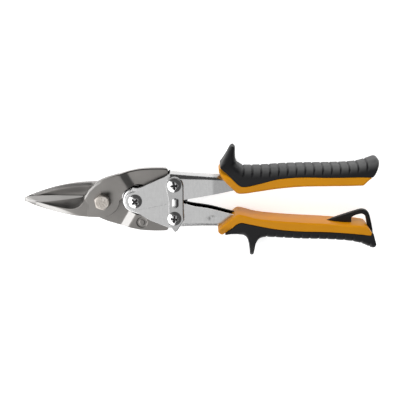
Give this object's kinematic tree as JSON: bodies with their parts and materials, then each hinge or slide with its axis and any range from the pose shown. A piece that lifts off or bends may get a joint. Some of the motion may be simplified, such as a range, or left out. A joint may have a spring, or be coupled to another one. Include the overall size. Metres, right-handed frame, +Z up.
{
  "type": "aviation snips",
  "caption": "Compound-leverage sheet-metal snips with slim jaws, a hooked latch plate and two-tone grips with a thumb guard and hang loop.",
  "frame": {"origin": "centre of the bounding box, on the surface that the closed tool lies on", "axes": "+X from the jaws to the grips' ends, +Y to the side of the handle with the thumb guard, +Z up through the pivots to the latch's side"},
  "size_m": [0.2482, 0.0808, 0.0206],
  "materials": {
    "blade_steel": "forged steel, satin ground",
    "bolt_steel": "bright machined steel",
    "chrome": "plated, finely brushed along the handle",
    "screw_chrome": "polished plating",
    "spring_steel": "dark oiled spring wire",
    "orange_plastic": "orange, lightly grained hard plastic",
    "black_rubber": "black, matt, softly ribbed"
  },
  "bodies": {
    "upper_handle": {"upper_handle_channel": "chrome", "fulcrum_screw": "screw_chrome", "fulcrum_sleeve": "screw_chrome", "fulcrum_spacer": "bolt_steel", "upper_tang_screw": "screw_chrome", "upper_tang_sleeve": "screw_chrome", "upper_tang_spacer_front": "bolt_steel", "upper_tang_spacer_rear": "bolt_steel", "latch_washer": "spring_steel", "return_spring": "spring_steel", "upper_grip_core": "orange_plastic", "upper_grip_cover": "black_rubber"},
    "lower_handle": {"lower_handle_channel": "chrome", "lower_tang_screw": "screw_chrome", "lower_tang_sleeve": "screw_chrome", "latch_spacer": "bolt_steel", "lower_grip_core": "orange_plastic", "lower_grip_cover": "black_rubber"},
    "front_blade": {"lower_jaw_blade": "blade_steel", "pivot_bolt": "bolt_steel", "pivot_washer": "bolt_steel", "pivot_nut": "bolt_steel"},
    "rear_blade": {"upper_jaw_blade": "blade_steel"},
    "latch": {"latch_plate": "chrome"}
  },
  "joints": [
    {"name": "handle_open", "type": "hinge", "parent": "upper_handle", "child": "lower_handle", "pos_m": [-0.0458, 0.00115, 0.0103], "axis": [0, 0, -1], "range_deg": [0, 42], "deforming": ["return_spring"]},
    {"name": "front_blade_turn", "type": "hinge", "parent": "upper_handle", "child": "front_blade", "pos_m": [-0.01841, 0.01321, 0.0103], "axis": [0, 0, -1], "range_deg": [0, 10.2]},
    {"name": "rear_blade_turn", "type": "hinge", "parent": "lower_handle", "child": "rear_blade", "pos_m": [-0.01841, -0.01091, 0.0103], "axis": [0, 0, 1], "range_deg": [0, 10.2]},
    {"name": "latch_turn", "type": "hinge", "parent": "upper_handle", "child": "latch", "pos_m": [-0.01841, 0.01321, 0.0103], "axis": [0, 0, 1], "range_deg": [0, 90.1]}
  ],
  "couplings": [
    {"joint": "front_blade_turn", "follows": "handle_open", "ratio": 0.2425},
    {"joint": "rear_blade_turn", "follows": "handle_open", "ratio": 0.2425},
    {"joint": "latch_turn", "follows": "handle_open", "ratio": 2.1429}
  ]
}
